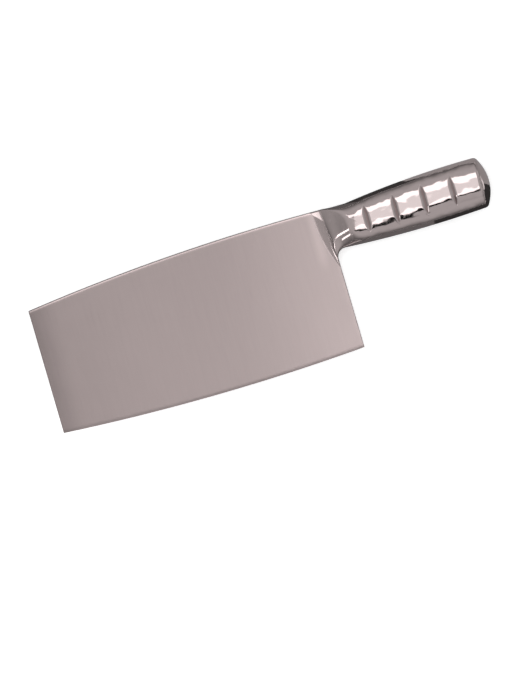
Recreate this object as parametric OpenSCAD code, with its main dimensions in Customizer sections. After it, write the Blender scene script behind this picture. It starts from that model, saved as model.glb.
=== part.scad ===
/* [Blade] */
// Length of the blade, from its square tip end to the heel corner
blade_l = 205; // [190:1:220]
// Height of the spine above the heel corner at its highest place
spine_h = 93.9; // [88:0.1:100]
// How far in front of the heel corner the spine is highest
spine_crest = 20; // [0:1:40]
// How far the spine has fallen at the tip end
tip_drop = 12; // [6:0.5:18]
// How far the cutting edge bellies below the heel corner
belly = 4; // [2:0.1:6]
// How far in front of the heel corner the cutting edge is lowest
belly_at = 110; // [95:1:125]
// Lean of the tip end toward the front, in degrees
tip_lean = 0.5; // [0:0.1:3]
// Lean of the heel line toward the front, in degrees
heel_lean = 0.8; // [0:0.1:3]
// Thickness of the plate at the spine
spine_t = 2.5; // [2:0.1:3.4]
// Thickness of the plate where the ground faces reach the edge bevel
edge_t = 0.6; // [0.4:0.05:0.9]
// Thickness left at the very edge
keen_t = 0.06; // [0.04:0.01:0.12]
// Width of the edge bevel
bevel_w = 1.3; // [0.8:0.1:2.5]
// Width of the eased band along each side of the spine
ease_w = 1.5; // [1:0.1:2.2]
// Fall of the eased band below the face, in degrees
ease_a = 9; // [5:1:14]
// Radius of the rounded corners of the spine
spine_round = 0.6; // [0.3:0.1:0.8]
// Length of the tang behind the heel corner
tang_l = 30; // [22:1:45]
// Width of the tang
tang_w = 20; // [14:1:22]

/* [Neck] */
// How far in front of the heel corner the flare starts at the spine
flare_front = 10; // [5:0.5:12]
// How far the front edge of the flare swells forward in its middle
flare_swell = 2.4; // [0:0.1:3]
// Height on the heel line at which the flare starts
flare_low = 53; // [46:1:55]
// Distance from the heel corner to the end of the neck slope
neck_l = 13; // [12:0.5:16]
// Radius of the inner corner between the heel and the handle
corner_r = 6; // [4:0.5:8]
// Length over which the slope curves up out of the blade face
slope_curve = 6.5; // [3:0.5:8]
// Width of the bevelled flank below the slope, at the front of the neck
flank_front = 8; // [6:0.5:10]
// Width of the bevelled flank at the end of the neck
flank_end = 13.5; // [11:0.5:14]
// Fullness of the flank, where 1 is a flat bevel and 2 is a quarter ellipse
flank_full = 1.9; // [1.3:0.1:2.5]
// Softness of the edge between the neck slope and the rounded handle
slope_soft = 1.4; // [0.8:0.1:2.6]
// How far the neck's top line dips below the spine behind the blade
neck_drop = 0.5; // [0:0.1:0.8]
// Least thickness of the ground weld, on the eased band of the spine
weld_film = 0.1; // [0.08:0.01:0.2]

/* [Handle] */
// Distance from the heel corner to the rim of the end cap
handle_l = 103.2; // [98:0.1:112]
// Thickness of the handle across its two pressed sides
handle_t = 23; // [20:0.5:26]
// How far the handle's top line rises above the spine
top_rise = 5.3; // [3:0.1:7]
// Distance from the heel corner to the highest place of the top line
top_crest = 98; // [80:1:98]
// How far the handle's bottom line lies below the spine
bottom_drop = 29.7; // [27:0.1:32]
// Distance from the heel corner to the lowest place of the bottom line
bottom_low = 52; // [36:1:56]
// How far the bottom line rises again at the rim
bottom_rise = 1.8; // [0.8:0.1:3]
// Fullness of the oval section, where 2 is an ellipse
oval = 2.5; // [2.2:0.05:2.9]
// Wall thickness of the pressed shells
wall = 1.2; // [0.9:0.05:1.6]

/* [Grip grooves] */
// Number of grooves across each side
groove_n = 4; // [3:1:5]
// Distance from the heel corner to the first groove
groove_first = 25; // [22:0.5:28]
// Width of a groove
groove_w = 4; // [3:0.1:5]
// Depth of a groove
groove_d = 1.5; // [0.8:0.1:1.8]
// Softness of the edges of a groove
groove_soft = 0.5; // [0.3:0.1:0.8]
// How far the pillow between two grooves swells in its middle
pillow_h = 0.25; // [0:0.05:0.5]

/* [End cap] */
// Radius of the rounded end of the handle
end_r = 3; // [2.5:0.1:4]
// Height of the domed cap above its rim
dome_h = 4.2; // [3:0.1:6]
// Thickness of the cap
cap_t = 1.2; // [0.9:0.1:1.6]
// Width of the weld between the shells and the cap
cap_weld_w = 0.9; // [0.6:0.1:1.2]

/* [Hidden] */

// Facets to the full turn of the large arcs, and in each rounded corner of the spine
arc_fn = 720;
round_n = 6;
// Depth of the bands that the spine and edge arcs are cut from, more than the blade is high
band_d = 120;
// Material left beyond an outline where another cut makes the face
spare = 2;

// The drawing frame: the heel corner is the origin, X runs to the butt, Y to the spine, and the
// blade's middle plane is Z = 0. The spine and the edge are arcs.
spine_rad = ((blade_l - spine_crest) ^ 2 + tip_drop ^ 2) / (2 * tip_drop);
edge_rad = (belly_at ^ 2 + belly ^ 2) / (2 * belly);
// Half the plate's growth in thickness for each millimetre up from the heel corner
taper = (spine_t - edge_t) / 2 / spine_h;
plate = spine_t / 2;

// Half the thickness of the plate at height y
function face(y) = edge_t / 2 + taper * y;

// How far the eased band has fallen below the face at a depth below the spine
function ease_fall(depth) = (ease_w - depth) * tan(ease_a);

// The weld ends halfway down the eased band, and fills a bed in the plate that leaves it its least
// thickness there
weld_down = (spine_round + ease_w) / 2;
weld_root = weld_film + ease_fall(weld_down);

// Top line of the handle: level with the spine up to the seat of the shells, a slight dip along the
// neck, then an arc up to its crest
top_rad = (top_crest - neck_l) ^ 2 / (2 * (top_rise + neck_drop));
function top_y(x) = x < neck_l ? spine_h - neck_drop * min(1, max(0, (x - seat) / neck_l * 2)) :
    spine_h + top_rise - (x - top_crest) ^ 2 / (2 * top_rad);

// Bottom line of the handle, a shallow arc
bottom_rad = (handle_l - bottom_low) ^ 2 / (2 * bottom_rise);
function bottom_y(x) = spine_h - bottom_drop + (x - bottom_low) ^ 2 / (2 * bottom_rad);

// Inner corner: an arc from the heel line to the bottom line, as angles about its centre
arc_from = 180 + heel_lean;
corner_x = corner_r - (spine_h - bottom_drop) * tan(heel_lean);
arc_to = 90 - atan((bottom_low - corner_x) / bottom_rad);
corner_low = bottom_y(corner_x) - corner_r * (sin(arc_to) + sin(heel_lean));
corner_c = [corner_r * cos(heel_lean) - corner_low * tan(heel_lean), corner_low + corner_r * sin(heel_lean)];

// The path of the neck's lower outline: up the heel line, round the corner, along the bottom
heel_run = (corner_low - flare_low) / cos(heel_lean);
arc_run = corner_r * (arc_from - arc_to) * PI / 180;
corner_end = corner_c.x + corner_r * cos(arc_to);
path_l = heel_run + arc_run + neck_l - corner_end;
function heel_point(y) = [-y * tan(heel_lean), y];
function corner_point(a) = corner_c + corner_r * [cos(a), sin(a)];
function path_point(d) =
    d < heel_run ? heel_point(flare_low + d * cos(heel_lean)) :
    d < heel_run + arc_run ? corner_point(arc_from - (d - heel_run) / corner_r * 180 / PI) :
    [corner_end + d - heel_run - arc_run, bottom_y(corner_end + d - heel_run - arc_run)];

// A station is named by the X of its top point. In the neck the stations fan round the inner corner.
neck_run = flare_front + neck_l;
function top_point(t) = [t, top_y(t)];
function foot_point(t) =
    t < neck_l ? path_point(neck_share(t) * path_l) : [t, bottom_y(t)];

// Height of the neck slope above the blade face: a curve out of the face, then a straight slope
curve_share = slope_curve / neck_run;
slope_k = (handle_t / 2 - plate) / (1 - curve_share / 2);
function slope_at(s) = s < curve_share ? slope_k * s ^ 2 / (2 * curve_share) : slope_k * (s - curve_share / 2);
function neck_share(t) = (t + flare_front) / neck_run;
function rise(t) = slope_at(neck_share(t));

// The shells start where the slope has risen by their wall and by what the plate thins down to
// the inner corner
seat_rise = wall + plate - face(flare_low);
seat_share = seat_rise < slope_at(curve_share) ?
    sqrt(2 * curve_share * seat_rise / slope_k) : seat_rise / slope_k + curve_share / 2;
seat = seat_share * neck_run - flare_front;

// The slope with its bevelled flank, at a distance up from the foot of the station. Behind the neck
// the flank lifts off the rounded handle, by this much for each millimetre.
flank_lift = 0.1;
function flank_w(t) = flank_front + (flank_end - flank_front) * min(1, neck_share(t));
function slope_z(t, ramp, d) = ramp < plate ? ramp :
    plate + (ramp - plate) * (1 - (1 - min(1, d / flank_w(t))) ^ flank_full) ^ (1 / flank_full) +
    max(0, t - neck_l) * flank_lift;

// Grooves and the pillows between them
groove_pitch = (handle_l - groove_first) / groove_n;
groove_slope = 2 * groove_d / groove_w;
function groove_x(i) = groove_first + i * groove_pitch;
// Signed distance to the nearest groove, and how far along its pillow a place is
function groove_off(t) =
    let (i = min(groove_n - 1, max(0, round((t - groove_first) / groove_pitch)))) t - groove_x(i);
function pillow_at(t) = t < groove_first ? (t - neck_l) / (groove_first - neck_l) :
    (t - groove_first) / groove_pitch - floor((t - groove_first) / groove_pitch);
function swell(t) = pillow_h * (4 * pillow_at(t) * (1 - pillow_at(t)) - 1);

// How far the rounded end draws the section in
end_from = handle_l - end_r + 0.4;
function draw_in(t) = t < end_from ? 0 : end_r - sqrt(end_r ^ 2 - (t - end_from) ^ 2);

// The lesser of two heights, rounded over where they meet
function soft_min(p, q, k) = min(p, q) - max(k - abs(p - q), 0) ^ 2 / (4 * k);

// Half height and half thickness of the section, drawn in for the shells' inner faces by inset
function half_h(t, inset) = norm(top_point(t) - foot_point(t)) / 2 - draw_in(t) - inset;
function half_t(t, inset) = handle_t / 2 - draw_in(t) - inset;

// Where on the oval a height z is met, as the oval's own angle from its top
function angle_at(t, inset, z) = asin(min(1, z / half_t(t, inset)) ^ (oval / 2));

// Outline of the section at an angle from 0 (top) to 180 (bottom): the oval, cut by the neck slope
// and the grooves
function section_xy(t, inset, a) =
    let (q = sign(cos(a)) * abs(cos(a)) ^ (2 / oval), up = top_point(t) - foot_point(t))
    (top_point(t) + foot_point(t)) / 2 + up / norm(up) * half_h(t, inset) * q;
function ramp_z(t, inset, y) = face(y) + rise(t) - inset;
function foot_run(t, inset, a) = half_h(t, inset) * (1 + sign(cos(a)) * abs(cos(a)) ^ (2 / oval));
function groove_z(t, inset) = half_t(t, inset) - groove_d + abs(groove_off(t)) * groove_slope;
function body_z(t, inset, a) =
    let (swollen = half_t(t, inset) + (t > neck_l && t < end_from ? swell(t) : 0))
    min(half_t(t, inset) * sin(a) ^ (2 / oval), swollen);
function section_z(t, inset, a, y) =
    let (ramp = ramp_z(t, inset, y), k = min(slope_soft, 0.8 * max(0.01, ramp + inset - plate)),
        slope = slope_z(t, ramp, foot_run(t, inset, a)))
    soft_min(soft_min(body_z(t, inset, a), slope, k), groove_z(t, inset), groove_soft);

// Angles of the section's points: some down each rounded flank, more across the pressed side
flank_n = 6;
side_n = 12;
point_n = 2 * flank_n + side_n;
// Half height of the band across each side that the grooves reach
grip_band = 9.5;
function band_angle(t, inset) =
    min(acos((grip_band / half_h(t, 0)) ^ (oval / 2)), angle_at(t, inset, ramp_z(t, inset, spine_h)));
// In the neck the lower points follow the bevelled flank, and behind it they come back to the band
function low_angle(t, inset) =
    let (bevel = acos(max(0, 1 - flank_w(t) / half_h(t, 0)) ^ (oval / 2)), band = band_angle(t, inset))
    band + (bevel - band) * min(1, max(0, 1 - (t - neck_l) / (groove_first - neck_l)));
function section_angle(t, inset, j) =
    let (a0 = angle_at(t, inset, plate), a1 = max(a0 + 2, band_angle(t, inset)),
        a2 = max(a0 + 2, low_angle(t, inset)))
    j <= flank_n ? a0 + (a1 - a0) * j / flank_n :
    j < flank_n + side_n ? a1 + (180 - a1 - a2) * (j - flank_n) / side_n :
    180 - a0 - (a2 - a0) * (point_n - j) / flank_n;

// One point of a shell's outer face (inset 0) or inner face (inset wall). The two ends of each
// section lie on the flat seam, and the first inner section lies down on the plate.
function skin(t, inset, j) =
    let (a = section_angle(t, inset, j), p = section_xy(t, inset, a), z = section_z(t, inset, a, p.y))
    [p.x, p.y, j == 0 || j == point_n || (inset > 0 && t <= seat) ? plate : max(plate, z)];

// Stations along a shell: the neck, the first pillow, the grooves with their pillows, the round end
neck_n = 9;
shell_end = handle_l - cap_weld_w;
neck_stations = [for (i = [0:neck_n]) seat + (neck_l - seat) * i / neck_n];
first_stations = [for (f = [0.2, 0.4, 0.7]) neck_l + (groove_first - groove_w - neck_l) * f];
groove_steps = [-0.62, -0.5, -0.38, -0.2, 0, 0.2, 0.38, 0.5, 0.62];
pillow_steps = [0.3, 0.5, 0.7];
end_n = 4;
groove_stations = [for (i = [0:groove_n - 1]) each concat(
    [for (f = groove_steps) groove_x(i) + f * groove_w],
    i < groove_n - 1 ? [for (f = pillow_steps) groove_x(i) + f * groove_pitch] : [])];
last_x = groove_x(groove_n - 1);
end_stations = concat([for (f = pillow_steps) last_x + (end_from - last_x) * f],
    [for (i = [0:end_n]) end_from + (shell_end - end_from) * i / end_n]);
stations = concat(neck_stations, first_stations, groove_stations, end_stations);

// Two triangles for four corners that are given counter-clockwise from outside
function quad(a, b, c, d) = [[a, b, c], [a, c, d]];

// Closed skin between two grids of n rows and m columns, the first grid seen from outside
module between(outer, inner) {
    n = len(outer);
    m = len(outer[0]);
    far = n * m;
    function at(i, j) = i * m + j;
    sides = [for (i = [0:n - 2]) each concat(
        quad(at(i, 0), far + at(i, 0), far + at(i + 1, 0), at(i + 1, 0)),
        quad(at(i, m - 1), at(i + 1, m - 1), far + at(i + 1, m - 1), far + at(i, m - 1)))];
    ends = [for (j = [0:m - 2]) each concat(
        quad(at(0, j), at(0, j + 1), far + at(0, j + 1), far + at(0, j)),
        quad(at(n - 1, j), far + at(n - 1, j), far + at(n - 1, j + 1), at(n - 1, j + 1)))];
    faces = [for (i = [0:n - 2], j = [0:m - 2]) each concat(
        quad(at(i, j), at(i + 1, j), at(i + 1, j + 1), at(i, j + 1)),
        quad(far + at(i, j), far + at(i, j + 1), far + at(i + 1, j + 1), far + at(i + 1, j)))];
    polyhedron([for (row = outer) each row, for (row = inner) each row], concat(faces, sides, ends));
}

// Closed ring over a run of loops whose last joins its first, for the weld round the end cap
module ring(loops) {
    n = len(loops);
    m = len(loops[0]);
    polyhedron([for (l = loops) each l], [for (i = [0:n - 1], j = [0:m - 1])
        each quad(i * m + j, i * m + (j + 1) % m, (i + 1) % n * m + (j + 1) % m, (i + 1) % n * m + j)]);
}

// The knife lies on its back side: rolled until the back face is level, then pitched until the tip
// end and the handle's side both touch the ground. The leaning tip end reaches farthest at the top of
// the flat face.
tip_reach = blade_l + (spine_h - tip_drop - ease_w) * tan(tip_lean);
roll = atan(taper);
function low_z(p) = p.y * sin(roll) - p.z * cos(roll);
tip_z = -edge_t / 2 * cos(roll);
pitch = max([for (t = stations, j = [0:point_n])
    let (p = skin(t, 0, j)) atan((tip_z - low_z(p)) / (p.x + tip_reach))]);
mid_x = (handle_l + dome_h - tip_reach) / 2 * cos(pitch);
mid_y = (spine_h + top_rise - belly) / 2;
module lying() {
    translate([-mid_x, -mid_y, tip_reach * sin(pitch) - tip_z * cos(pitch)])
        rotate([0, -pitch, 0])
        rotate([roll, 0, 0])
        children();
}

// Section of the plate below the spine arc: full thickness, the two eased bands, the two rounded
// corners, and the flat top between them
module spine_section() {
    round_z = plate - ease_fall(spine_round * (1 - sin(ease_a))) - spine_round * cos(ease_a);
    corner = [for (i = [0:round_n])
        let (a = ease_a + (90 - ease_a) * i / round_n)
        [spine_rad - spine_round * (1 - sin(a)), round_z + spine_round * cos(a)]];
    half = concat([[spine_rad - band_d, plate], [spine_rad - ease_w, plate]], corner);
    polygon(concat(half, [for (i = [len(half) - 1:-1:0]) [half[i].x, -half[i].y]]));
}

module under_spine() {
    sweep_from = 90 - asin((tang_l + spine_crest + band_d) / spine_rad);
    sweep_to = 90 + asin((tip_reach - spine_crest + spare) / (spine_rad - band_d));
    translate([-spine_crest, spine_h - spine_rad, 0])
        rotate([0, 0, sweep_from])
        rotate_extrude(angle = sweep_to - sweep_from, $fn = arc_fn)
            spine_section();
}

// Everything above the edge arc, ending in the edge bevel
module above_edge() {
    bevel_k = (edge_t - keen_t) / 2 / bevel_w;
    back = (spine_t - keen_t) / 2 / bevel_k + spare;
    front_sweep = asin((tip_reach - belly_at + spare) / (edge_rad - band_d));
    back_sweep = asin((belly_at + tang_l + spare) / (edge_rad - band_d));
    translate([-belly_at, edge_rad - belly, 0])
        rotate([0, 0, 270 - front_sweep])
        rotate_extrude(angle = front_sweep + back_sweep, $fn = arc_fn)
            polygon([[edge_rad, -keen_t / 2], [edge_rad, keen_t / 2],
                [edge_rad - back, keen_t / 2 + back * bevel_k], [edge_rad - band_d, keen_t / 2 + back * bevel_k],
                [edge_rad - band_d, -keen_t / 2 - back * bevel_k], [edge_rad - back, -keen_t / 2 - back * bevel_k]]);
}

// The flat-ground wedge, thickest at the spine
module wedge() {
    low = -belly - spare;
    high = spine_h + spare;
    translate([-tip_reach - spare, 0, 0])
        rotate([90, 0, 90])
        linear_extrude(tip_reach + tang_l + 2 * spare)
            polygon([[low, -face(low)], [high, -face(high)], [high, face(high)], [low, face(low)]]);
}

// Outline of the plate: square tip end, leaning heel, the seat line of the shells, and the tang
module plate_outline() {
    foot = foot_point(seat);
    up = (top_point(seat) - foot) / (top_point(seat).y - foot.y);
    tang_mid = spine_h - bottom_drop / 2;
    function seat_point(y) = foot + up * (y - foot.y);
    function tip_point(y) = [-blade_l - y * tan(tip_lean), y];
    linear_extrude(2 * spine_t, center = true)
        polygon([tip_point(-belly - spare), heel_point(-belly - spare), foot,
            seat_point(tang_mid - tang_w / 2), [tang_l, tang_mid - tang_w / 2],
            [tang_l, tang_mid + tang_w / 2], seat_point(tang_mid + tang_w / 2),
            seat_point(spine_h + spare), tip_point(spine_h + spare)]);
}

// A place on the weld at station t, from 0 at the foot to 1 at the weld's top, below the spine. The
// weld's front edge swells forward, and its rows straighten toward the seat of the shells.
function weld_xy(t, f) =
    let (up = top_point(t) - foot_point(t), forward = flare_swell * (seat - t) / (seat + flare_front))
    foot_point(t) + up * f * (1 - weld_down / norm(up)) - [forward * 4 * max(0, f) * (1 - f), 0];

// Shares of the weld's height, from its top down to the flank and on down the flank to the foot
weld_n = 7;
weld_side_n = 6;
weld_flank_n = 4;
function weld_shares(t) = let (f = flank_w(t) / norm(top_point(t) - foot_point(t))) concat(
    [for (j = [0:weld_side_n]) 1 - (1 - f) * j / weld_side_n],
    [for (j = [1:weld_flank_n]) f * (1 - j / weld_flank_n)]);

// Bed of the weld in one face of the plate, open toward the heel. It runs on a little under the
// shell's edge.
bed_under = 1;
module weld_bed() {
    low = flare_low - spare;
    open = -spare / neck_run;
    // The swollen front edge, carried on past the heel in the line of its last stretch
    shares = weld_shares(-flare_front);
    last = weld_xy(-flare_front, shares[len(shares) - 2]);
    foot = foot_point(-flare_front);
    beyond = foot + (foot - last) / norm(foot - last) * spare;
    intersection() {
        linear_extrude(spine_t)
            polygon(concat([for (j = [0:len(shares) - 2]) weld_xy(-flare_front, shares[j])],
                [beyond, beyond + [spare, 0], weld_xy(seat, open) + [bed_under, 0],
                weld_xy(seat, 1) + [bed_under, 0]]));
        translate([-neck_run, 0, 0])
            rotate([90, 0, 90])
            linear_extrude(2 * neck_run)
                polygon([[low, face(low) - weld_root], [spine_h, face(spine_h) - weld_root],
                    [spine_h, spine_t], [low, spine_t]]);
    }
}

module blade() {
    color([0.66, 0.6, 0.6])
    lying()
    difference() {
        intersection() {
            under_spine();
            above_edge();
            wedge();
            plate_outline();
        }
        weld_bed();
        mirror([0, 0, 1])
            weld_bed();
    }
}

// Ground weld in its bed on one face of the blade, from its feathered front edge to the shell's edge
module neck_weld() {
    weld_stations = [for (i = [0:weld_n]) -flare_front + (seat + flare_front) * i / weld_n];
    function bed_row(t) = [for (f = weld_shares(t))
        let (p = weld_xy(t, f)) [p.x, p.y, face(p.y) - weld_root]];
    function top_row(t) = [for (f = weld_shares(t)) let (p = weld_xy(t, f))
        [p.x, p.y, slope_z(t, face(p.y) + rise(t), norm(p - foot_point(t)))]];
    between([for (t = weld_stations) top_row(t)], [for (t = weld_stations) bed_row(t)]);
}

module neck_weld_front() {
    color([0.62, 0.56, 0.56])
    lying()
    neck_weld();
}

module neck_weld_back() {
    color([0.62, 0.56, 0.56])
    lying()
    mirror([0, 0, 1])
    neck_weld();
}

module shell() {
    between([for (t = stations) [for (j = [0:point_n]) skin(t, 0, j)]],
        [for (t = stations) [for (j = [0:point_n]) skin(t, wall, j)]]);
}

module handle_shell_front() {
    color([0.78, 0.74, 0.73])
    lying()
    shell();
}

module handle_shell_back() {
    color([0.78, 0.74, 0.73])
    lying()
    mirror([0, 0, 1])
    shell();
}

// Weld that fills the seam between the two shells, flush with them inside and out
module seam_weld(j) {
    crest = j == 0 ? 0 : 180;
    function seam_point(t, inset, side) = let (p = skin(t, inset, j)) [p.x, p.y, side * plate];
    function crest_point(t) = let (p = section_xy(t, 0, crest)) [p.x, p.y, 0];
    outer = [for (t = stations) [seam_point(t, 0, -1), crest_point(t), seam_point(t, 0, 1)]];
    inner = [for (t = stations) let (a = seam_point(t, wall, -1), b = seam_point(t, wall, 1))
        [a, (a + b) / 2, b]];
    if (j == 0)
        between(outer, inner);
    else
        between(inner, outer);
}

module seam_weld_top() {
    color([0.7, 0.66, 0.65])
    lying()
    seam_weld(0);
}

module seam_weld_bottom() {
    color([0.55, 0.5, 0.5])
    lying()
    seam_weld(point_n);
}

// Closed oval outline of the handle's end, drawn in by an extra amount
rim_n = 64;
function rim_loop(t, inset, x) = [for (k = [0:rim_n - 1])
    let (a = 360 * k / rim_n, c = (top_y(t) + bottom_y(t)) / 2, q = cos(a), w = sin(a))
    [x, c + half_h(t, inset) * sign(q) * abs(q) ^ (2 / oval),
        half_t(t, inset) * sign(w) * abs(w) ^ (2 / oval)]];

module cap_weld() {
    color([0.8, 0.75, 0.75])
    lying()
    ring([rim_loop(shell_end, wall, shell_end), rim_loop(shell_end, 0, shell_end),
        rim_loop((shell_end + handle_l) / 2, 0, (shell_end + handle_l) / 2),
        rim_loop(handle_l, 0, handle_l), rim_loop(handle_l, wall, handle_l)]);
}

// Domed cap: its rim is flat, and both faces close in rings toward the apex
dome_n = 7;
module end_cap() {
    mid = (top_y(handle_l) + bottom_y(handle_l)) / 2;
    function shrink(loop, f) = let (c = [loop[0].x, mid, 0]) [for (p = loop) c + (p - c) * f];
    function dome(inset, h) = [for (i = [0:dome_n - 1])
        let (f = cos(90 * i / dome_n), x = handle_l + h * sin(90 * i / dome_n) ^ 2)
        shrink(rim_loop(handle_l, inset, x), f)];
    outer = dome(0, dome_h);
    inner = dome(wall, dome_h - cap_t);
    far = dome_n * rim_n;
    top = 2 * far;
    function at(i, k) = i * rim_n + k % rim_n;
    skins = [for (i = [0:dome_n - 2], k = [0:rim_n - 1]) each concat(
        quad(at(i, k), at(i, k + 1), at(i + 1, k + 1), at(i + 1, k)),
        quad(far + at(i, k), far + at(i + 1, k), far + at(i + 1, k + 1), far + at(i, k + 1)))];
    tips = [for (k = [0:rim_n - 1]) each [[at(dome_n - 1, k), at(dome_n - 1, k + 1), top],
        [far + at(dome_n - 1, k + 1), far + at(dome_n - 1, k), top + 1]]];
    rim = [for (k = [0:rim_n - 1]) each quad(far + at(0, k), far + at(0, k + 1), at(0, k + 1), at(0, k))];
    color([0.4, 0.36, 0.36])
    lying()
    polyhedron([for (l = outer) each l, for (l = inner) each l, [handle_l + dome_h, mid, 0],
        [handle_l + dome_h - cap_t, mid, 0]], concat(skins, tips, rim));
}

blade();
neck_weld_front();
neck_weld_back();
handle_shell_front();
handle_shell_back();
seam_weld_top();
seam_weld_bottom();
end_cap();
cap_weld();
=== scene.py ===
import bpy
import numpy as np
from math import acos, asin, atan, atan2, cos, degrees, pi, radians, sin, sqrt, tan
from mathutils import Matrix, Vector


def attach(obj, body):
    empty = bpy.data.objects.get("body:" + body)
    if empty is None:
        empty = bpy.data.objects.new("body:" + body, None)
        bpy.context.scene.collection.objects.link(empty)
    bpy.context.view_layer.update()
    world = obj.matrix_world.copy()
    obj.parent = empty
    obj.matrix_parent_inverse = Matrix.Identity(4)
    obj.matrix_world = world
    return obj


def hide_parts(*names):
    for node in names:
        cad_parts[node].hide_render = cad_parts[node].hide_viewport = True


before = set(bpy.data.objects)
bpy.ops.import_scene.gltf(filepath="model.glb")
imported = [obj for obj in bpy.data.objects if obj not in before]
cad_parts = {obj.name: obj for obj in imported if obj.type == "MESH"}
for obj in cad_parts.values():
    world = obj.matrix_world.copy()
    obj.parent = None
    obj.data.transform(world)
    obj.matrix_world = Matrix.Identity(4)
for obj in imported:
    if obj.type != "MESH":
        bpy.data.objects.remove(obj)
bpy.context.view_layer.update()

bpy.ops.object.select_all(action="DESELECT")
scene = bpy.context.scene
MM = 0.001

# ---------------------------------------------------------------- sizes of the knife, in mm
BLADE_L = 205
SPINE_H = 93.9
SPINE_CREST = 20
TIP_DROP = 12
BELLY = 4
BELLY_AT = 110
TIP_LEAN = 0.5
HEEL_LEAN = 0.8
SPINE_T = 2.5
EDGE_T = 0.6
KEEN_T = 0.06
BEVEL_W = 1.3
EASE_W = 1.5
EASE_A = 9
SPINE_ROUND = 0.6
FLARE_FRONT = 10
FLARE_SWELL = 2.4
FLARE_LOW = 53
NECK_L = 13
CORNER_R = 6
SLOPE_CURVE = 6.5
FLANK_FRONT = 8
FLANK_END = 13.5
FLANK_FULL = 1.9
FLANK_LIFT = 0.1
SLOPE_SOFT = 1.4
NECK_DROP = 0.5
WELD_FILM = 0.1
FOOT_EVEN = 0.07  # the most that a section's foot runs on along its path, as a share of that path
HANDLE_L = 103.2
HANDLE_T = 23
TOP_RISE = 5.3
TOP_CREST = 98
BOTTOM_DROP = 29.7
BOTTOM_LOW = 52
BOTTOM_RISE = 1.8
OVAL = 2.5
WALL = 1.2
GROOVE_N = 4
GROOVE_FIRST = 25
GROOVE_W = 4
GROOVE_D = 1.5
GROOVE_SOFT = 0.5
PILLOW_H = 0.25
END_R = 3
DOME_H = 4.2
CAP_T = 1.2
CAP_WELD_W = 0.9
END_ROUND = 0.35  # rounding at the tip end and the heel
END_LEAST = 0.35  # share of the plate's thickness that stays there at least
REST_PITCH = 2.67182  # degrees at which the tip end and the handle touch the ground, as the solids lie

# ---------------------------------------------------------------- how finely the meshes are divided
NECK_STEP = 0.3
FIRST_STEP = 0.5
GROOVE_STEP = 0.2
FIELD_STEP = 0.6
END_STEP = 0.15
WELD_STEP = 0.25
FACE_STEP = 1.5
FACE_N = 60
ROUND_N = 6
WELD_N = 40
WELD_FLANK_N = 16
FLANK_N = 22
SIDE_N = 60
POINT_N = 2 * FLANK_N + SIDE_N
RIM_N = 144
DOME_N = 30
BEAD_N = 6
SMOOTH_A = 35

# ---------------------------------------------------------------- outline of the knife
SPINE_RAD = ((BLADE_L - SPINE_CREST) ** 2 + TIP_DROP ** 2) / (2 * TIP_DROP)
EDGE_RAD = (BELLY_AT ** 2 + BELLY ** 2) / (2 * BELLY)
TAPER = (SPINE_T - EDGE_T) / 2 / SPINE_H
PLATE = SPINE_T / 2
TOP_RAD = (TOP_CREST - NECK_L) ** 2 / (2 * (TOP_RISE + NECK_DROP))
BOTTOM_RAD = (HANDLE_L - BOTTOM_LOW) ** 2 / (2 * BOTTOM_RISE)
LEAN = tan(radians(HEEL_LEAN))


def face(y):
    """Half thickness of the plate at height y"""
    return EDGE_T / 2 + TAPER * y


def spine_y(x):
    return SPINE_H - SPINE_RAD + sqrt(SPINE_RAD ** 2 - (x + SPINE_CREST) ** 2)


def edge_y(x):
    return EDGE_RAD - BELLY - sqrt(EDGE_RAD ** 2 - (x + BELLY_AT) ** 2)


def bottom_y(x):
    return SPINE_H - BOTTOM_DROP + (x - BOTTOM_LOW) ** 2 / (2 * BOTTOM_RAD)


ARC_FROM = 180 + HEEL_LEAN
CORNER_X = CORNER_R - (SPINE_H - BOTTOM_DROP) * LEAN
ARC_TO = 90 - degrees(atan((BOTTOM_LOW - CORNER_X) / BOTTOM_RAD))
CORNER_LOW = bottom_y(CORNER_X) - CORNER_R * (sin(radians(ARC_TO)) + sin(radians(HEEL_LEAN)))
CORNER_CX = CORNER_R * cos(radians(HEEL_LEAN)) - CORNER_LOW * LEAN
CORNER_CY = CORNER_LOW + CORNER_R * sin(radians(HEEL_LEAN))
HEEL_RUN = (CORNER_LOW - FLARE_LOW) / cos(radians(HEEL_LEAN))
ARC_RUN = CORNER_R * radians(ARC_FROM - ARC_TO)
CORNER_END = CORNER_CX + CORNER_R * cos(radians(ARC_TO))
PATH_L = HEEL_RUN + ARC_RUN + NECK_L - CORNER_END
NECK_RUN = FLARE_FRONT + NECK_L

CURVE_SHARE = SLOPE_CURVE / NECK_RUN
SLOPE_K = (HANDLE_T / 2 - PLATE) / (1 - CURVE_SHARE / 2)
SEAT_RISE = WALL + PLATE - face(FLARE_LOW)
SEAT = (SEAT_RISE / SLOPE_K + CURVE_SHARE / 2) * NECK_RUN - FLARE_FRONT


def slope_at(s):
    """Rise of the neck's slope at share s of its run: curved at first, then straight"""
    if s < CURVE_SHARE:
        return SLOPE_K * s * s / (2 * CURVE_SHARE)
    return SLOPE_K * (s - CURVE_SHARE / 2)


if SEAT_RISE < slope_at(CURVE_SHARE):
    SEAT = sqrt(2 * CURVE_SHARE * SEAT_RISE / SLOPE_K) * NECK_RUN - FLARE_FRONT


def top_y(x):
    if x < NECK_L:
        return SPINE_H - NECK_DROP * min(1, max(0, (x - SEAT) / NECK_L * 2))
    return SPINE_H + TOP_RISE - (x - TOP_CREST) ** 2 / (2 * TOP_RAD)


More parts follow.
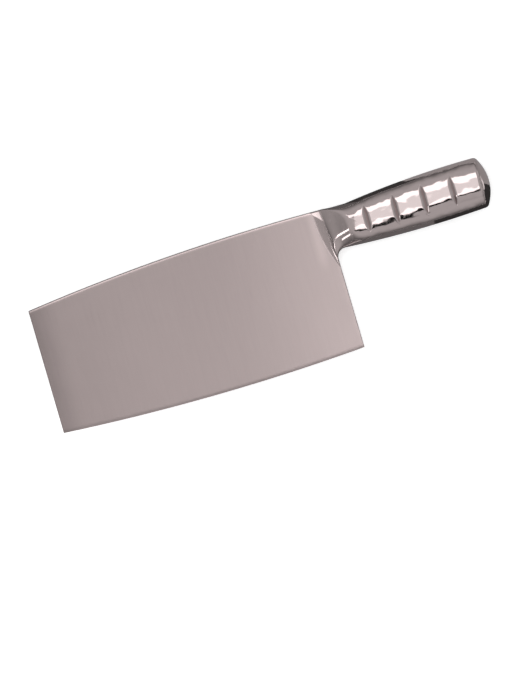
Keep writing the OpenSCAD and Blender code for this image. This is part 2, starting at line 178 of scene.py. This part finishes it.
def path_point(d):
    """The neck's foot at distance d along the heel, round the inner corner and along the handle"""
    if d < HEEL_RUN:
        y = FLARE_LOW + d * cos(radians(HEEL_LEAN))
        return np.array([-y * LEAN, y])
    if d < HEEL_RUN + ARC_RUN:
        a = radians(ARC_FROM) - (d - HEEL_RUN) / CORNER_R
        return np.array([CORNER_CX + CORNER_R * cos(a), CORNER_CY + CORNER_R * sin(a)])
    x = CORNER_END + d - HEEL_RUN - ARC_RUN
    return np.array([x, bottom_y(x)])


def neck_share(t):
    return (t + FLARE_FRONT) / NECK_RUN


def rise(t):
    return slope_at(neck_share(t))


def top_point(t):
    return np.array([t, top_y(t)])


def foot_share(t):
    """How far along its path a section's foot stands, run on behind the seat to even the slope"""
    past = max(0, (t - SEAT) / (NECK_L - SEAT))
    return neck_share(t) + FOOT_EVEN * 27 / 4 * past * (1 - past) ** 2


def foot_point(t):
    if t < NECK_L:
        return path_point(foot_share(t) * PATH_L)
    return np.array([t, bottom_y(t)])


# ---------------------------------------------------------------- section of the handle
GROOVE_PITCH = (HANDLE_L - GROOVE_FIRST) / GROOVE_N
GROOVE_SLOPE = 2 * GROOVE_D / GROOVE_W
END_FROM = HANDLE_L - END_R + 0.4
SHELL_END = HANDLE_L - CAP_WELD_W


def groove_off(t):
    i = min(GROOVE_N - 1, max(0, round((t - GROOVE_FIRST) / GROOVE_PITCH)))
    return t - GROOVE_FIRST - i * GROOVE_PITCH


def pillow_at(t):
    if t < GROOVE_FIRST:
        return (t - NECK_L) / (GROOVE_FIRST - NECK_L)
    return (t - GROOVE_FIRST) / GROOVE_PITCH % 1


def swell(t):
    return PILLOW_H * (4 * pillow_at(t) * (1 - pillow_at(t)) - 1)


def draw_in(t):
    return 0 if t < END_FROM else END_R - sqrt(END_R ** 2 - (t - END_FROM) ** 2)


def soft_min(p, q, k):
    """The lower of p and q, blended over k where they meet"""
    return min(p, q) - max(k - abs(p - q), 0) ** 2 / (4 * k)


def flank_w(t):
    return FLANK_FRONT + (FLANK_END - FLANK_FRONT) * min(1, neck_share(t))


def slope_z(t, ramp, d):
    """Height of the slope at distance d from its foot, where its rounded flank rises to the ramp"""
    if ramp < PLATE:
        return ramp
    share = (1 - (1 - min(1, max(0, d / flank_w(t)))) ** FLANK_FULL) ** (1 / FLANK_FULL)
    return PLATE + (ramp - PLATE) * share + max(0, t - NECK_L) * FLANK_LIFT


def half_h(t, inset):
    return np.linalg.norm(top_point(t) - foot_point(t)) / 2 - draw_in(t) - inset


def half_t(t, inset):
    return HANDLE_T / 2 - draw_in(t) - inset


def angle_at(t, inset, z):
    return degrees(asin(min(1, z / half_t(t, inset)) ** (OVAL / 2)))


def oval_cos(a):
    c = cos(radians(a))
    return (1 if c > 0 else -1) * abs(c) ** (2 / OVAL)


def section_xy(t, inset, a):
    up = top_point(t) - foot_point(t)
    return (top_point(t) + foot_point(t)) / 2 + up / np.linalg.norm(up) * half_h(t, inset) * oval_cos(a)


def body_z(t, inset, a):
    swollen = half_t(t, inset) + (swell(t) if NECK_L < t < END_FROM else 0)
    return min(half_t(t, inset) * abs(sin(radians(a))) ** (2 / OVAL), swollen)


def section_z(t, inset, a, y):
    ramp = face(y) + rise(t) - inset
    k = min(SLOPE_SOFT, 0.8 * max(0.01, ramp + inset - PLATE))
    slope = slope_z(t, ramp, half_h(t, inset) * (1 + oval_cos(a)))
    groove = half_t(t, inset) - GROOVE_D + abs(groove_off(t)) * GROOVE_SLOPE
    return soft_min(soft_min(body_z(t, inset, a), slope, k), groove, GROOVE_SOFT)


GRIP_BAND = 9.5  # half height of the handle's broad side


def section_angles(t, inset):
    """Angles round one shell's section: SIDE_N steps over its broad side, FLANK_N above and below"""
    a0 = angle_at(t, inset, PLATE)
    band = min(degrees(acos((GRIP_BAND / half_h(t, 0)) ** (OVAL / 2))),
        angle_at(t, inset, face(SPINE_H) + rise(t) - inset))
    bevel = degrees(acos(max(0, 1 - flank_w(t) / half_h(t, 0)) ** (OVAL / 2)))
    low = band + (bevel - band) * min(1, max(0, 1 - (t - NECK_L) / (GROOVE_FIRST - NECK_L)))
    a1 = max(a0 + 2, band)
    a2 = max(a0 + 2, low)
    upper = [a0 + (a1 - a0) * (j / FLANK_N) for j in range(FLANK_N)]
    middle = [a1 + (180 - a1 - a2) * j / SIDE_N for j in range(SIDE_N)]
    lower = [180 - a0 - (a2 - a0) * (FLANK_N - j) / FLANK_N for j in range(FLANK_N + 1)]
    return upper + middle + lower


def skin_row(t, inset):
    """One section of a shell's outer face, or of its inner face with inset = WALL"""
    row = []
    for j, a in enumerate(section_angles(t, inset)):
        p = section_xy(t, inset, a)
        z = section_z(t, inset, a, p[1])
        on_plate = j in (0, POINT_N) or (inset > 0 and t <= SEAT)
        row.append((p[0], p[1], PLATE if on_plate else max(PLATE, z)))
    return row


# ---------------------------------------------------------------- how the knife lies
TIP_REACH = BLADE_L + (SPINE_H - TIP_DROP - EASE_W) * tan(radians(TIP_LEAN))
ROLL = atan(TAPER)
PITCH = radians(REST_PITCH)
TIP_Z = -EDGE_T / 2 * cos(ROLL)
MID_X = (HANDLE_L + DOME_H - TIP_REACH) / 2 * cos(PITCH)
MID_Y = (SPINE_H + TOP_RISE - BELLY) / 2
LIFT = TIP_REACH * sin(PITCH) - TIP_Z * cos(PITCH)
LYING = (Matrix.Translation((-MID_X * MM, -MID_Y * MM, LIFT * MM))
    @ Matrix.Rotation(-PITCH, 4, "Y") @ Matrix.Rotation(ROLL, 4, "X") @ Matrix.Scale(MM, 4))


def lying(p):
    """A point of the knife, in mm, where it lies in the scene"""
    return LYING @ Vector(p)


# ---------------------------------------------------------------- mesh tools
def edit_mode(on):
    bpy.ops.object.mode_set(mode="EDIT" if on else "OBJECT")


def place_grid(name, rows):
    """A grid whose vertices take the given rows of points"""
    n = len(rows)
    m = len(rows[0])
    bpy.ops.mesh.primitive_grid_add(x_subdivisions=m - 1, y_subdivisions=n - 1, size=2)
    piece = bpy.context.object
    piece.name = name
    piece.data.name = name
    for v in piece.data.vertices:
        j = round((v.co.x + 1) / 2 * (m - 1))
        i = round((v.co.y + 1) / 2 * (n - 1))
        v.co = lying(rows[i][j])
    return piece


def join(pieces):
    bpy.ops.object.select_all(action="DESELECT")
    for p in pieces:
        p.select_set(True)
    bpy.context.view_layer.objects.active = pieces[0]
    bpy.ops.object.join()
    return pieces[0]


def outward(piece):
    bpy.context.view_layer.objects.active = piece
    edit_mode(True)
    bpy.ops.mesh.select_all(action="SELECT")
    bpy.ops.mesh.normals_make_consistent(inside=False)
    bpy.ops.mesh.select_all(action="DESELECT")
    edit_mode(False)


def closed_skin(name, outer, inner):
    """Two grids bridged round their borders into one closed wall"""
    piece = join([place_grid(name, outer), place_grid(name + "_in", inner)])
    piece.name = name
    edit_mode(True)
    bpy.ops.mesh.select_all(action="DESELECT")
    bpy.ops.mesh.select_mode(type="EDGE")
    bpy.ops.mesh.select_non_manifold(extend=False)
    bpy.ops.mesh.bridge_edge_loops()
    edit_mode(False)
    outward(piece)
    return piece


def mirrored(piece, name):
    """A copy for the back side, mirrored through the blade's middle plane"""
    copy = piece.copy()
    copy.data = piece.data.copy()
    copy.name = name
    copy.data.name = name
    bpy.context.collection.objects.link(copy)
    copy.data.transform(LYING @ Matrix.Scale(-1, 4, (0, 0, 1)) @ LYING.inverted())
    outward(copy)
    return copy


def smooth(piece, angle):
    bpy.ops.object.select_all(action="DESELECT")
    piece.select_set(True)
    bpy.context.view_layer.objects.active = piece
    bpy.ops.object.shade_smooth_by_angle(angle=radians(angle))


def spread(a, b, step):
    """Even places from a up to b, without b"""
    n = max(1, round((b - a) / step))
    return [a + (b - a) * i / n for i in range(n)]


# ---------------------------------------------------------------- handle shells
def shell_stations():
    stations = spread(SEAT, NECK_L, NECK_STEP)
    stations += spread(NECK_L, GROOVE_FIRST - GROOVE_W, FIRST_STEP)
    for i in range(GROOVE_N):
        mid = GROOVE_FIRST + i * GROOVE_PITCH
        end = mid + GROOVE_PITCH - GROOVE_W if i < GROOVE_N - 1 else END_FROM
        stations += spread(mid - GROOVE_W, mid + GROOVE_W, GROOVE_STEP)
        stations += spread(mid + GROOVE_W, end, FIELD_STEP)
    return stations + spread(END_FROM, SHELL_END, END_STEP) + [SHELL_END]


STATIONS = shell_stations()
shell_front = closed_skin("handle_front", [skin_row(t, 0) for t in STATIONS],
    [skin_row(t, WALL) for t in STATIONS])
shell_back = mirrored(shell_front, "handle_back")


# ---------------------------------------------------------------- neck welds
WELD_DOWN = (SPINE_ROUND + EASE_W) / 2
WELD_ROOT = WELD_FILM + (EASE_W - WELD_DOWN) * tan(radians(EASE_A))


def weld_rows(outer):
    """Sections of a neck weld, of its ground face or of the bed that it fills"""
    rows = []
    for t in spread(-FLARE_FRONT, SEAT, WELD_STEP) + [SEAT]:
        up = top_point(t) - foot_point(t)
        length = np.linalg.norm(up)
        flank = flank_w(t) / length
        shares = [1 - (1 - flank) * j / WELD_N for j in range(WELD_N + 1)]
        shares += [flank * (1 - j / WELD_FLANK_N) for j in range(1, WELD_FLANK_N + 1)]
        forward = FLARE_SWELL * (SEAT - t) / (SEAT + FLARE_FRONT)
        row = []
        for f in shares:
            p = foot_point(t) + up * f * (1 - WELD_DOWN / length) - (forward * 4 * f * (1 - f), 0)
            z = face(p[1]) - WELD_ROOT
            if outer:
                z = slope_z(t, face(p[1]) + rise(t), np.linalg.norm(p - foot_point(t)))
            row.append((p[0], p[1], z))
        rows.append(row)
    return rows


weld_front = closed_skin("neck_weld_a", weld_rows(True), weld_rows(False))
weld_back = mirrored(weld_front, "neck_weld_b")


# ---------------------------------------------------------------- seam welds
def seam_rows(side, inset):
    """Strips of a seam weld from the back shell to the front one, above with side = 1, below with -1"""
    rows = []
    for t in STATIONS:
        a0 = angle_at(t, inset, PLATE)
        row = []
        for k in (-1, -0.5, 0, 0.5, 1):
            a = a0 * abs(k) if inset == 0 else a0
            p = section_xy(t, inset, a if side > 0 else 180 - a)
            row.append((p[0], p[1], PLATE * k))
        rows.append(row)
    return rows


seam_top = closed_skin("seam_top", seam_rows(1, 0), seam_rows(1, WALL))
seam_bottom = closed_skin("seam_bottom", seam_rows(-1, 0), seam_rows(-1, WALL))

# ---------------------------------------------------------------- end cap and its weld
def rim_point(t, inset, x, turn):
    """A point round the handle's section at t, drawn at x"""
    c = cos(turn)
    s = sin(turn)
    y = (top_y(t) + bottom_y(t)) / 2 + half_h(t, inset) * (1 if c > 0 else -1) * abs(c) ** (2 / OVAL)
    return np.array([x, y, half_t(t, inset) * (1 if s > 0 else -1) * abs(s) ** (2 / OVAL)])


def make_cap():
    """A sphere turned into the domed sheet: its upper half is the outer face, its lower half the inner"""
    bpy.ops.mesh.primitive_uv_sphere_add(segments=RIM_N, ring_count=DOME_N + 1, radius=1)
    piece = bpy.context.object
    piece.name = "cap"
    mid = np.array([0, (top_y(HANDLE_L) + bottom_y(HANDLE_L)) / 2, 0])
    for v in piece.data.vertices:
        turn = atan2(v.co.y, v.co.x)
        height = asin(max(-1, min(1, v.co.z)))
        inset = 0 if height > 0 else WALL
        dome = DOME_H if height > 0 else DOME_H - CAP_T
        step = pi / (DOME_N + 1)
        phi = (abs(height) - step / 2) / (pi / 2 - step / 2) * pi / 2
        p = rim_point(HANDLE_L, inset, 0, turn)
        p = mid + (p - mid) * max(0, cos(phi))
        p[0] = HANDLE_L + dome * sin(phi) ** 2
        v.co = lying(p)
    outward(piece)
    return piece


def make_cap_weld():
    """A ring turned into the weld bead between the shells and the cap"""
    bpy.ops.mesh.primitive_torus_add(major_segments=RIM_N, minor_segments=BEAD_N + 3,
        major_radius=1, minor_radius=0.25)
    piece = bpy.context.object
    piece.name = "cap_bead"
    for v in piece.data.vertices:
        turn = atan2(v.co.y, v.co.x)
        around = atan2(v.co.z, (v.co.xy.length - 1)) % (2 * pi)
        k = round(around / (2 * pi) * (BEAD_N + 3)) % (BEAD_N + 3)
        if k <= BEAD_N:
            t = SHELL_END + CAP_WELD_W * k / BEAD_N
            inset = 0
        else:
            t = HANDLE_L if k == BEAD_N + 1 else SHELL_END
            inset = WALL
        v.co = lying(rim_point(t, inset, t, turn))
    outward(piece)
    return piece


cap = make_cap()
cap_bead = make_cap_weld()


# ---------------------------------------------------------------- blade
def blade_section(x):
    """Half of the section at x, from the keen edge up the face and over the eased spine"""
    low = edge_y(x)
    high = spine_y(x)
    bevel_k = (EDGE_T - KEEN_T) / 2 / BEVEL_W
    bevel_top = low + (face(low) - KEEN_T / 2) / (bevel_k - TAPER)
    band = high - EASE_W
    fall = tan(radians(EASE_A))
    round_top = SPINE_ROUND * (1 - sin(radians(EASE_A)))
    bevel_rise = [(bevel_top - low) * f for f in (0, 0.5, 1)]
    face_y = [bevel_top + (band - bevel_top) * j / FACE_N for j in range(1, FACE_N + 1)]
    eased_y = [band + (EASE_W - round_top) * f for f in (0.5, 1)]
    half = [(low + up, KEEN_T / 2 + bevel_k * up) for up in bevel_rise]
    half += [(y, face(y)) for y in face_y]
    half += [(y, face(y) - (y - band) * fall) for y in eased_y]
    ease_end = face(high - round_top) - (EASE_W - round_top) * fall
    round_z = ease_end - SPINE_ROUND * cos(radians(EASE_A))
    for i in range(1, ROUND_N + 1):
        a = radians(EASE_A + (90 - EASE_A) * i / ROUND_N)
        half.append((high - SPINE_ROUND * (1 - sin(a)), round_z + SPINE_ROUND * cos(a)))
    return half


def blade_rows():
    """Stations from the tip end to the heel line, each a loop up the back face and down the front"""
    foot = foot_point(SEAT)
    lean = (top_point(SEAT) - foot) / (top_point(SEAT)[1] - foot[1])
    turns = [radians(d) for d in (0, 20, 40, 60, 90)]
    rounded = [(END_ROUND * (1 - cos(a)), END_ROUND * (1 - sin(a))) for a in turns]
    stations = [("tip", s, drop) for s, drop in rounded]
    stations += [("face", x + BLADE_L, 0) for x in spread(-BLADE_L + 1, -1, FACE_STEP)]
    stations += [("heel", s, drop) for s, drop in reversed(rounded)]
    rows = []
    for place, s, drop in stations:
        half = []
        for y, z in blade_section(-s if place == "heel" else -BLADE_L + s):
            tip_x = -BLADE_L - max(y, 0) * tan(radians(TIP_LEAN))
            heel_x = -y * LEAN if y < foot[1] else foot[0] + lean[0] * (y - foot[1])
            x = tip_x + s if place == "tip" else heel_x - s
            if place == "face":
                x = tip_x + (heel_x - tip_x) * s / BLADE_L
            half.append((x, y, max(z - drop, END_LEAST * z)))
        rows.append([(x, y, -z) for x, y, z in half] + [(x, y, z) for x, y, z in reversed(half)])
    return rows


def make_blade():
    rows = blade_rows()
    piece = place_grid("blade_plate", rows)
    edit_mode(True)
    bpy.ops.mesh.select_mode(type="EDGE")
    bpy.ops.mesh.select_all(action="DESELECT")
    bpy.ops.mesh.select_non_manifold(extend=False)
    bpy.ops.mesh.edge_face_add()
    edit_mode(False)
    return piece


blade = make_blade()
outward(blade)


# ---------------------------------------------------------------- materials
class Value:
    """A socket of a node tree, or a number, that sums and products can be written with"""

    def __init__(self, maker, socket):
        self.maker = maker
        self.socket = socket

    def math(self, kind, *others):
        return self.maker.add("ShaderNodeMath", {"operation": kind}, self, *others)

    def __add__(self, other):
        return self.math("ADD", other)

    def __sub__(self, other):
        return self.math("SUBTRACT", other)

    def __mul__(self, other):
        return self.math("MULTIPLY", other)

    def __truediv__(self, other):
        return self.math("DIVIDE", other)

    def __rsub__(self, other):
        return self * -1 + other

    __radd__ = __add__
    __rmul__ = __mul__

    def between(self, low, high):
        """0 below low, 1 above high, and smooth between them"""
        return self.maker.add("ShaderNodeMapRange", {"interpolation_type": "SMOOTHSTEP"}, self, low, high)

    def bell(self, mid, width):
        """1 at mid, falling to 0 at width on either side"""
        return 1 - ((self - mid) / width).math("ABSOLUTE").between(0, 1)


class Maker:
    """Builds one material or the world from nodes"""

    def __init__(self, tree, shader):
        self.tree = tree
        tree.nodes.clear()
        self.out = tree.nodes.new("ShaderNodeOutput" + shader)

    def add(self, kind, settings, *inputs, pick=0, **named):
        node = self.tree.nodes.new(kind)
        for key, value in settings.items():
            setattr(node, key, value)
        for key, value in list(enumerate(inputs)) + list(named.items()):
            key = key.replace("_", " ") if isinstance(key, str) else key
            if isinstance(value, Value):
                self.tree.links.new(value.socket, node.inputs[key])
            else:
                node.inputs[key].default_value = value
        return Value(self, node.outputs[pick])

    def surface(self, value):
        self.tree.links.new(value.socket, self.out.inputs["Surface"])

    def place(self):
        """The place on the knife in mm: along from the heel corner, up from it, and across"""
        at = self.add("ShaderNodeTexCoord", {}, pick="Object")
        axes = [self.add("ShaderNodeSeparateXYZ", {}, at, pick=k) for k in range(3)]
        return axes[0] * 1000 + MID_X, axes[1] * 1000 + MID_Y, axes[2] * 1000

    def noise(self, x, y, z, scale, detail, rough):
        at = self.add("ShaderNodeCombineXYZ", {}, x, y, z)
        return self.add("ShaderNodeTexNoise", {}, Vector=at, Scale=scale, Detail=detail, Roughness=rough)


def new_material(name):
    material = bpy.data.materials.new(name)
    material.use_nodes = True
    return material, Maker(material.node_tree, "Material")


def steel_surface(m, tint, level, rough, height):
    """Bare steel with its tint scaled by level, and shaded relief whose height is in mm"""
    colour = m.add("ShaderNodeVectorMath", {"operation": "SCALE"}, tint, Scale=level)
    relief = m.add("ShaderNodeBump", {}, 1.0, MM, 1.0, Height=height)
    m.surface(m.add("ShaderNodeBsdfPrincipled", {},
        Base_Color=colour, Metallic=1.0, Roughness=rough, Normal=relief))


FLAT_X = -5.3  # a point on the flat's lower border, in mm
FLAT_Y = 87.8
FLAT_RUN = 1.1  # how steeply that border falls toward the butt
FLAT_TILT = 0.17  # how steeply the flat falls from it


def corner_flat(x, y):
    """Relief of the small ground flat at the corner of spine and neck, tipped toward the spine"""
    return (y - FLAT_Y + (x - FLAT_X) * FLAT_RUN).math("MAXIMUM", 0.0) * -FLAT_TILT


def eased_spine(x, y):
    """1 on the narrow eased band along the spine, 0 on the rest of the face"""
    back = x + SPINE_CREST
    under = SPINE_H - back * back / (2 * SPINE_RAD) - y
    return 1 - under.between(1.1, 1.7)


def blade_steel():
    """Satin ground steel with fine lines from spine to edge; its colour carries painted shade, darker
    toward the tip, through the middle and toward the spine, and a painted highlight, lighter by the neck
    """
    material, m = new_material("blade_ground")
    x, y, z = m.place()
    lines = m.noise(x, y * 0.02, z * 0.2, 3.2, 3.0, 0.65)
    streaks = m.noise(x, y * 0.05, z * 0.2, 0.6, 2.0, 0.5)
    cloud = m.noise(x, y * 0.7, z, 0.09, 3.0, 0.6)
    scratch = m.noise(x, y * 0.06, z, 1.4, 2.0, 0.5).between(0.66, 0.74)
    grain = lines * 0.06 + streaks * 0.05 + cloud * 0.04 - scratch * 0.03
    # painted highlight: the blade's colour is lighter in a band just before the flare, standing in for a
    # lamp's reflection in the curve into the neck
    painted_flare_highlight = x.bell(-10.5, 5) * y.between(52, 66) * 0.14
    # painted shade: the blade's colour darkens toward the tip and through its middle, standing in for the
    # soft box's reflection falling off along the blade
    painted_tip_shade = (1 - x.between(-207, -186)) * 0.24
    painted_middle_shade = x.bell(-75, 75) * 0.09
    # the level also falls toward the spine (y * 0.0017), which is painted shade; grain is the steel's own
    # random tone
    level = 1.0 + grain - y * 0.0017 + painted_flare_highlight - (painted_tip_shade + painted_middle_shade)
    rough = 0.30 + cloud * 0.08 + lines * 0.05 - eased_spine(x, y) * 0.2
    height = lines * 0.008 + streaks * 0.005 + corner_flat(x, y)
    steel_surface(m, (0.47, 0.393, 0.388), level, rough, height)
    return material


def handle_steel():
    """Polished steel with the faint dents and waves of pressed sheet, calm on the neck"""
    material, m = new_material("handle_polished")
    x, y, z = m.place()
    dents = m.noise(x, y, z, 0.14, 1.0, 0.4)
    smudge = m.noise(x, y, z, 0.3, 4.0, 0.6)
    fine = m.noise(x * 0.06, y, z, 2.5, 3.0, 0.6)
    waves = m.noise(x * 0.6, y, z, 0.07, 1.0, 0.4)
    below = (82 - y).math("MAXIMUM", 0.0).math("MINIMUM", 9.0)
    lower_side = x.between(50, 86) * below * below * -0.011
    rough = 0.07 + smudge.between(0.45, 0.75) * 0.08 + fine * 0.02
    grip = x.between(9, 22) * 0.85 + 0.15
    height = (dents * 0.55 + waves * 0.7) * grip + lower_side
    steel_surface(m, (0.62, 0.53, 0.525), 0.95 + smudge * 0.06, rough, height)
    return material


def weld_steel():
    """Weld metal ground flush and polished with the handle"""
    material, m = new_material("weld_ground")
    x, y, z = m.place()
    beads = m.noise(x, y, z, 0.9, 3.0, 0.6)
    fine = m.noise(x, y * 0.1, z, 3.0, 3.0, 0.6)
    rough = 0.1 + beads * 0.08 + fine * 0.03
    height = beads * 0.012 + fine * 0.006 + corner_flat(x, y)
    steel_surface(m, (0.58, 0.49, 0.485), 0.85 + beads * 0.08, rough, height)
    return material


FINISHES = {"blade_steel": blade_steel(), "handle_steel": handle_steel(), "weld_steel": weld_steel()}
for piece, node, finish in (
        (blade, "blade", "blade_steel"),
        (weld_front, "neck_weld_front", "weld_steel"),
        (weld_back, "neck_weld_back", "weld_steel"),
        (shell_front, "handle_shell_front", "handle_steel"),
        (shell_back, "handle_shell_back", "handle_steel"),
        (seam_top, "seam_weld_top", "weld_steel"),
        (seam_bottom, "seam_weld_bottom", "weld_steel"),
        (cap, "end_cap", "handle_steel"),
        (cap_bead, "cap_weld", "weld_steel")):
    smooth(piece, SMOOTH_A)
    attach(piece, "root")
    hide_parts(node)
    piece.data.materials.clear()
    piece.data.materials.append(FINISHES[finish])

# ---------------------------------------------------------------- camera
CAM_DISTANCE = 5.0
CAM_TILT = radians(5.85)
VIEW_HIGH = 455.7
TARGET = (-65.4, 16.3, 0)
PICTURE_TURN = radians(15.7)


def set_camera():
    """Nearly square to the blade from far off, tilted toward the butt, with the picture turned"""
    back = Vector((sin(CAM_TILT), 0, cos(CAM_TILT)))
    along = Vector((cos(CAM_TILT), 0, -sin(CAM_TILT)))
    up_knife = Vector((0, 1, 0))
    right = along * cos(PICTURE_TURN) - up_knife * sin(PICTURE_TURN)
    up = along * sin(PICTURE_TURN) + up_knife * cos(PICTURE_TURN)
    turn = (LYING.to_3x3() * (1 / MM)).normalized()
    axes = Matrix((turn @ right, turn @ up, turn @ back)).transposed()
    lens = bpy.data.cameras.new("camera")
    camera = bpy.data.objects.new("camera", lens)
    scene.collection.objects.link(camera)
    scene.camera = camera
    camera.matrix_world = Matrix.Translation(lying(TARGET) + turn @ back * CAM_DISTANCE) @ axes.to_4x4()
    lens.sensor_fit = "VERTICAL"
    lens.sensor_height = 24
    lens.lens = 24 * CAM_DISTANCE / (VIEW_HIGH * MM)
    lens.clip_end = 50


set_camera()


# ---------------------------------------------------------------- studio, in metres
FLOOR_W = 8
FLOOR_GREY = 0.8
FLOOR_GLOW = 0.55
CARD_Z = 0.0003
BOX_Z = 0.7
FILL_Z = 1.3
WORLD_LOW = 0.15
WORLD_RISE = 0.42
WORLD_HIGH = 0.76
NECK_AIM = (5, 76, 8)
NECK_LAMP_REACH = 0.8


def plain_material(name, grey, seen_glow=0.0):
    """A card's or floor's paint. seen_glow shows to the camera and in polished and clear things."""
    material, m = new_material(name)
    shader = m.add("ShaderNodeBsdfDiffuse", {}, (grey, grey, grey, 1))
    if seen_glow:
        camera, glossy, clear = [m.add("ShaderNodeLightPath", {}, pick=k) for k in
            ("Is Camera Ray", "Is Glossy Ray", "Is Transmission Ray")]
        seen = camera.math("MAXIMUM", glossy).math("MAXIMUM", clear)
        light = m.add("ShaderNodeEmission", {}, (1, 1, 1, 1), seen * seen_glow)
        shader = m.add("ShaderNodeAddShader", {}, shader, light)
    m.surface(shader)
    return material


def make_floor():
    bpy.ops.mesh.primitive_plane_add(size=FLOOR_W, location=(0, 0, 0))
    floor = bpy.context.object
    floor.name = "floor"
    floor.data.materials.append(plain_material("floor_paper", FLOOR_GREY, FLOOR_GLOW))


def card(name, x0, x1, y0, y1, z, grey):
    """A level studio card that only reflections see"""
    bpy.ops.mesh.primitive_plane_add(size=1, location=((x0 + x1) / 2, (y0 + y1) / 2, z))
    piece = bpy.context.object
    piece.name = name
    piece.scale = (x1 - x0, y1 - y0, 1)
    piece.data.materials.append(plain_material(name + "_paint", grey))
    piece.visible_camera = False
    piece.visible_diffuse = False
    piece.visible_shadow = False


def area_lamp(name, wide, high, radiance):
    light = bpy.data.lights.new(name, "AREA")
    light.shape = "RECTANGLE"
    light.size = wide
    light.size_y = high
    light.energy = radiance * pi * wide * high
    lamp = bpy.data.objects.new(name, light)
    scene.collection.objects.link(lamp)
    return lamp


def softbox(name, x0, x1, y0, y1, z, radiance, glossy=True):
    """A level soft box overhead, which faces down"""
    lamp = area_lamp(name, x1 - x0, y1 - y0, radiance)
    lamp.location = ((x0 + x1) / 2, (y0 + y1) / 2, z)
    lamp.visible_glossy = glossy


def neck_lamp(name, bearing, height, wide, high, radiance):
    """A small lamp off to the tip's side that faces the neck. Angles in degrees, as the neck sees it."""
    neck = lying(NECK_AIM)
    level = cos(radians(height))
    away = Vector((-cos(radians(bearing)) * level, -sin(radians(bearing)) * level, sin(radians(height))))
    size = [2 * NECK_LAMP_REACH * tan(radians(angle / 2)) for angle in (wide, high)]
    lamp = area_lamp(name, *size, radiance)
    aim = away.to_track_quat("Z", "Y").to_matrix().to_4x4()
    lamp.matrix_world = Matrix.Translation(neck + away * NECK_LAMP_REACH) @ aim


def set_world():
    """Grey that rises from the horizon to overhead"""
    world = bpy.data.worlds.new("studio")
    scene.world = world
    world.use_nodes = True
    m = Maker(world.node_tree, "World")
    at = m.add("ShaderNodeTexCoord", {}, pick="Generated")
    up = m.add("ShaderNodeSeparateXYZ", {}, at, pick=2)
    grey = WORLD_LOW + up.between(0.0, WORLD_HIGH) * WORLD_RISE
    colour = m.add("ShaderNodeCombineColor", {}, grey, grey, grey)
    m.surface(m.add("ShaderNodeBackground", {}, colour, 1.0))


make_floor()
set_world()
softbox("panel_low", -0.13, 0.26, -0.19, -0.05, BOX_Z, 1.45)
softbox("panel_mid", -0.13, 0.26, -0.05, 0.12, BOX_Z, 0.62)
softbox("panel_high", -0.13, 0.26, 0.12, 0.395, BOX_Z, 1.45)
softbox("panel_spine", -0.42, -0.13, 0.17, 0.33, BOX_Z, 1.3)
softbox("fill", -0.7, 0.7, -0.7, 0.7, FILL_Z, 0.9, glossy=False)
card("flag_strip", -0.3, 0.4, -0.3, -0.19, BOX_Z, 0.0)
card("flag_under_neck", 0.045, 0.115, -1.2, 0.03, CARD_Z, 0.2)
card("flag_under_grip", 0.115, 0.35, -1.2, 0.03, CARD_Z, 0.05)
card("flag_over_neck", -0.2, 0.06, 0.03, 1.2, CARD_Z, 0.17)
card("flag_over_first", 0.06, 0.10, 0.03, 1.2, CARD_Z, 0.06)
card("flag_over_grip", 0.10, 0.35, 0.03, 1.2, CARD_Z, 0.45)
card("flag_under_edge", -0.5, 0.045, -1.2, -0.06, CARD_Z, 0.12)
neck_lamp("crease_lamp", 13.5, 27, 4, 12, 3.5)
neck_lamp("flank_lamp", 33, 21, 6, 7, 2.4)

scene.view_settings.view_transform = "Standard"
